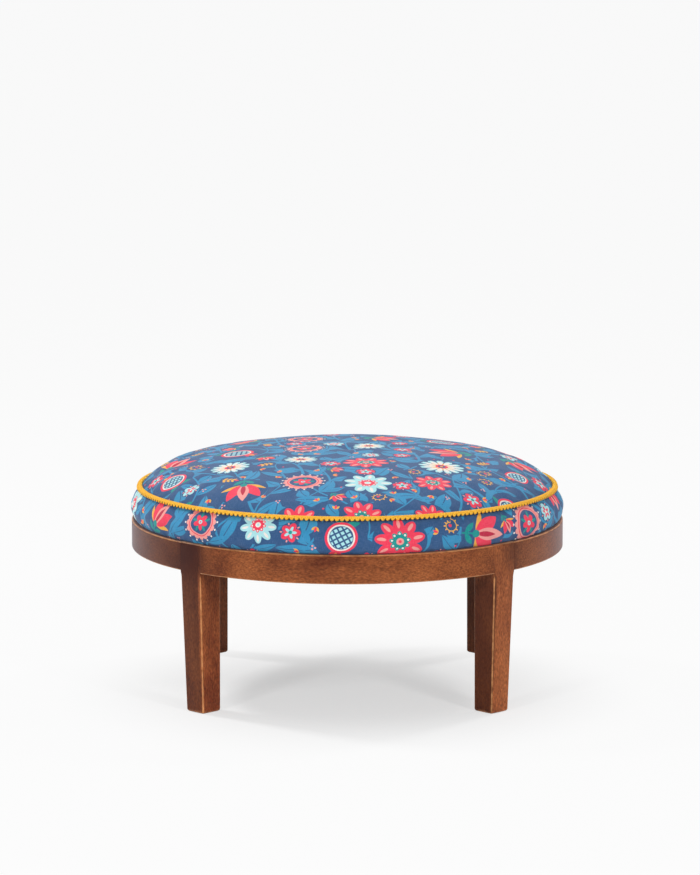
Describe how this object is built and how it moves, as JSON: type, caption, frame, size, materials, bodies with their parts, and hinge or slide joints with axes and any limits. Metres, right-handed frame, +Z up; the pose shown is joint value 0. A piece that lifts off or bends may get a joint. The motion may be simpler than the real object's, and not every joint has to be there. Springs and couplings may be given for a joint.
{
  "type": "tuffet",
  "caption": "Round upholstered footstool: crowned cushion with a braid in its seam, on a wooden ring frame with square tapered legs.",
  "frame": {"origin": "on the floor under the middle of the ring frame", "axes": "+Z up; -Y is the side seen from the front, midway between two legs; the legs stand on the diagonals"},
  "size_m": [0.7012, 0.7012, 0.3858],
  "materials": {
    "stained_walnut": "satin lacquer over walnut stain, arrises rubbed lighter",
    "pale_beech": "bare planed",
    "birch_plywood": "bare sanded",
    "zinc_steel": "zinc plated",
    "printed_cotton": null,
    "yellow_braid": "woven braid with a scalloped lower edge",
    "cream_foam": "open cell foam",
    "white_wadding": "soft fibre wadding",
    "black_cambric": "matt thin cloth"
  },
  "bodies": {
    "root": {"dust_cover": "black_cambric", "foam_core": "cream_foam", "front_left_corner_block": "pale_beech", "front_left_left_board_screw": "zinc_steel", "front_left_left_lower_dowel": "pale_beech", "front_left_left_upper_dowel": "pale_beech", "front_left_leg": "stained_walnut", "front_left_leg_screw": "zinc_steel", "front_left_right_board_screw": "zinc_steel", "front_left_right_lower_dowel": "pale_beech", "front_left_right_upper_dowel": "pale_beech", "front_rail": "stained_walnut", "front_right_corner_block": "pale_beech", "front_right_left_board_screw": "zinc_steel", "front_right_left_lower_dowel": "pale_beech", "front_right_left_upper_dowel": "pale_beech", "front_right_leg": "stained_walnut", "front_right_leg_screw": "zinc_steel", "front_right_right_board_screw": "zinc_steel", "front_right_right_lower_dowel": "pale_beech", "front_right_right_upper_dowel": "pale_beech", "left_rail": "stained_walnut", "rear_left_corner_block": "pale_beech", "rear_left_left_board_screw": "zinc_steel", "rear_left_left_lower_dowel": "pale_beech", "rear_left_left_upper_dowel": "pale_beech", "rear_left_leg": "stained_walnut", "rear_left_leg_screw": "zinc_steel", "rear_left_right_board_screw": "zinc_steel", "rear_left_right_lower_dowel": "pale_beech", "rear_left_right_upper_dowel": "pale_beech", "rear_rail": "stained_walnut", "rear_right_corner_block": "pale_beech", "rear_right_left_board_screw": "zinc_steel", "rear_right_left_lower_dowel": "pale_beech", "rear_right_left_upper_dowel": "pale_beech", "rear_right_leg": "stained_walnut", "rear_right_leg_screw": "zinc_steel", "rear_right_right_board_screw": "zinc_steel", "rear_right_right_lower_dowel": "pale_beech", "rear_right_right_upper_dowel": "pale_beech", "right_rail": "stained_walnut", "seat_board": "birch_plywood", "side_cover": "printed_cotton", "top_cover": "printed_cotton", "trim_braid": "yellow_braid", "wadding": "white_wadding"}
  },
  "joints": []
}
